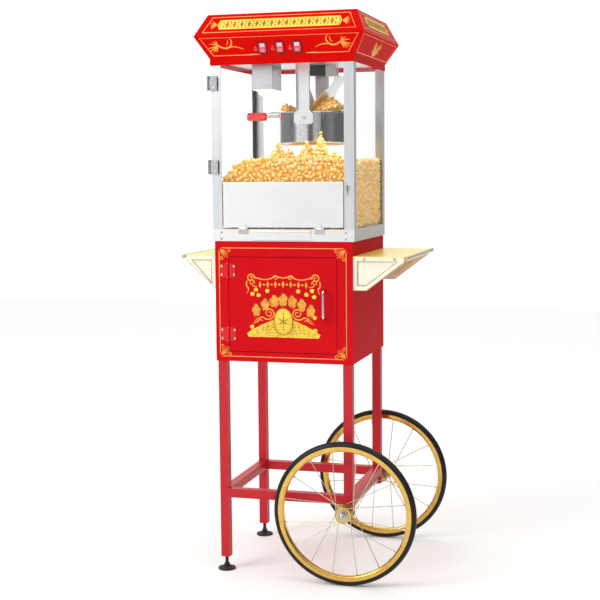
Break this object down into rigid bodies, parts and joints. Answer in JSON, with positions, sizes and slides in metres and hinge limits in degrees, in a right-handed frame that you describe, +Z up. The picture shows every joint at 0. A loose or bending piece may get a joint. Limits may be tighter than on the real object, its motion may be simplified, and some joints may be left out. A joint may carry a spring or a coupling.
{
  "type": "popcorn cart",
  "caption": "Popcorn cart: red cabinet on tube legs with spoked wheels and side shelves, under a glass case with a hanging kettle and a flared hood.",
  "frame": {"origin": "on the floor, under the middle of the whole cart, wheels and shelf rods included", "axes": "+Z up; -Y is the front, with the doors and switches; +X is the wheel side"},
  "size_m": [0.6911, 0.5756, 1.584],
  "materials": {
    "red_enamel": "gloss",
    "hinge_enamel": "satin",
    "steel_pin": "satin",
    "plated_screw": "polished",
    "pull_enamel": "gloss",
    "black_plastic": "satin",
    "ivory_enamel": "gloss",
    "champagne_rod": "satin",
    "tyre": "matte",
    "gold_enamel": "gloss",
    "brass_hub": "satin",
    "spoke_steel": "polished",
    "foot_rubber": "matte",
    "stainless": "satin",
    "aluminium": "satin",
    "clear_glass": "polished",
    "lamp_glass": "satin",
    "dark_housing": "satin",
    "latch_chrome": "polished",
    "kettle_steel": "polished",
    "handle_chrome": "polished",
    "red_grip": "gloss",
    "rocker_red": "gloss",
    "popcorn": "matte"
  },
  "bodies": {
    "cart": {"axle": "steel_pin", "axle_cap_nuts": "plated_screw", "base_pan": "stainless", "cabinet_back": "red_enamel", "cabinet_decks": "red_enamel", "cabinet_front_frame": "red_enamel", "cabinet_sides": "red_enamel", "case_hinge_brackets": "stainless", "case_posts": "aluminium", "ceiling_plate": "stainless", "door_hinge_fixed_leaves": "hinge_enamel", "door_hinge_pins": "steel_pin", "door_magnet_catch": "black_plastic", "drive_motor": "dark_housing", "frame_screws": "plated_screw", "glass_panes": "clear_glass", "hood_shell": "red_enamel", "kettle_hanger": "stainless", "lamp_housing": "stainless", "lamp_lens": "lamp_glass", "leg_left_back": "red_enamel", "leg_left_front": "red_enamel", "leg_right_back": "red_enamel", "leg_right_front": "red_enamel", "popcorn_floor": "stainless", "popcorn_heap": "popcorn", "power_inlet": "black_plastic", "shelf_gussets": "ivory_enamel", "shelf_handle_rods": "champagne_rod", "shelf_plates": "ivory_enamel", "stretchers": "red_enamel", "switch_bezels": "black_plastic"},
    "cabinet_door": {"cabinet_door": "red_enamel", "door_hinge_moving_leaves": "hinge_enamel", "door_screws": "plated_screw", "door_pull": "pull_enamel"},
    "wheel_front": {"wheel_tyre_front": "tyre", "wheel_rim_front": "gold_enamel", "wheel_hub_front": "brass_hub", "wheel_spokes_front": "spoke_steel"},
    "wheel_back": {"wheel_tyre_back": "tyre", "wheel_rim_back": "gold_enamel", "wheel_hub_back": "brass_hub", "wheel_spokes_back": "spoke_steel"},
    "foot_front": {"foot_front": "foot_rubber"},
    "foot_back": {"foot_back": "foot_rubber"},
    "glass_door": {"glass_door": "clear_glass", "glass_door_hinge_leaves": "stainless"},
    "serving_panel": {"serving_panel": "stainless"},
    "panel_latch": {"panel_latch": "latch_chrome"},
    "kernel_drawer": {"kernel_drawer": "stainless"},
    "kettle": {"kettle": "kettle_steel", "kettle_handle_stem": "handle_chrome", "kettle_handle_grip": "red_grip"},
    "kettle_lid_left": {"kettle_lid_left": "kettle_steel"},
    "kettle_lid_right": {"kettle_lid_right": "kettle_steel"},
    "agitator": {"agitator": "kettle_steel"},
    "rocker_left": {"rocker_left": "rocker_red"},
    "rocker_middle": {"rocker_middle": "rocker_red"},
    "rocker_right": {"rocker_right": "rocker_red"}
  },
  "joints": [
    {"name": "cabinet_door_hinge", "type": "hinge", "parent": "cart", "child": "cabinet_door", "pos_m": [-0.20555, -0.2034, 0.781], "axis": [0, 0, -1], "range_deg": [0, 110]},
    {"name": "wheel_spin_front", "type": "hinge", "parent": "cart", "child": "wheel_front", "pos_m": [0.14255, -0.2486, 0.203], "axis": [0, 1, 0], "continuous": true},
    {"name": "wheel_spin_back", "type": "hinge", "parent": "cart", "child": "wheel_back", "pos_m": [0.14255, 0.2486, 0.203], "axis": [0, 1, 0], "continuous": true},
    {"name": "foot_turn_front", "type": "hinge", "parent": "cart", "child": "foot_front", "pos_m": [-0.22635, -0.1833, 0.02], "axis": [0, 0, 1], "continuous": true},
    {"name": "foot_turn_back", "type": "hinge", "parent": "cart", "child": "foot_back", "pos_m": [-0.22635, 0.1833, 0.02], "axis": [0, 0, 1], "continuous": true},
    {"name": "glass_door_hinge", "type": "hinge", "parent": "cart", "child": "glass_door", "pos_m": [-0.25405, -0.204, 1.28], "axis": [0, 0, -1], "range_deg": [0, 110]},
    {"name": "serving_panel_hinge", "type": "hinge", "parent": "cart", "child": "serving_panel", "pos_m": [-0.04305, -0.20185, 0.99], "axis": [1, 0, 0], "range_deg": [0, 90]},
    {"name": "panel_latch_turn", "type": "hinge", "parent": "cart", "child": "panel_latch", "pos_m": [0.14095, -0.20025, 1.101], "axis": [0, 1, 0], "range_deg": [0, 90]},
    {"name": "kernel_drawer_slide", "type": "slide", "parent": "cart", "child": "kernel_drawer", "axis": [0, -1, 0], "range_m": [0, 0.22]},
    {"name": "kettle_tilt", "type": "hinge", "parent": "cart", "child": "kettle", "pos_m": [-0.00705, 0, 1.299], "axis": [0, -1, 0], "range_deg": [0, 85]},
    {"name": "lid_left_hinge", "type": "hinge", "parent": "kettle", "child": "kettle_lid_left", "pos_m": [-0.01705, 0, 1.323], "axis": [0, -1, 0], "range_deg": [-6, 78]},
    {"name": "lid_right_hinge", "type": "hinge", "parent": "kettle", "child": "kettle_lid_right", "pos_m": [0.00295, 0, 1.323], "axis": [0, 1, 0], "range_deg": [-30, 52]},
    {"name": "agitator_spin", "type": "hinge", "parent": "kettle", "child": "agitator", "pos_m": [-0.00705, 0, 1.27], "axis": [0, 0, 1], "continuous": true},
    {"name": "rocker_left_press", "type": "hinge", "parent": "cart", "child": "rocker_left", "pos_m": [-0.09105, -0.21056, 1.48884], "axis": [1, 0, 0], "range_deg": [0, 14]},
    {"name": "rocker_middle_press", "type": "hinge", "parent": "cart", "child": "rocker_middle", "pos_m": [-0.04155, -0.21056, 1.48884], "axis": [1, 0, 0], "range_deg": [0, 14]},
    {"name": "rocker_right_press", "type": "hinge", "parent": "cart", "child": "rocker_right", "pos_m": [0.00795, -0.21056, 1.48884], "axis": [1, 0, 0], "range_deg": [0, 14]}
  ]
}
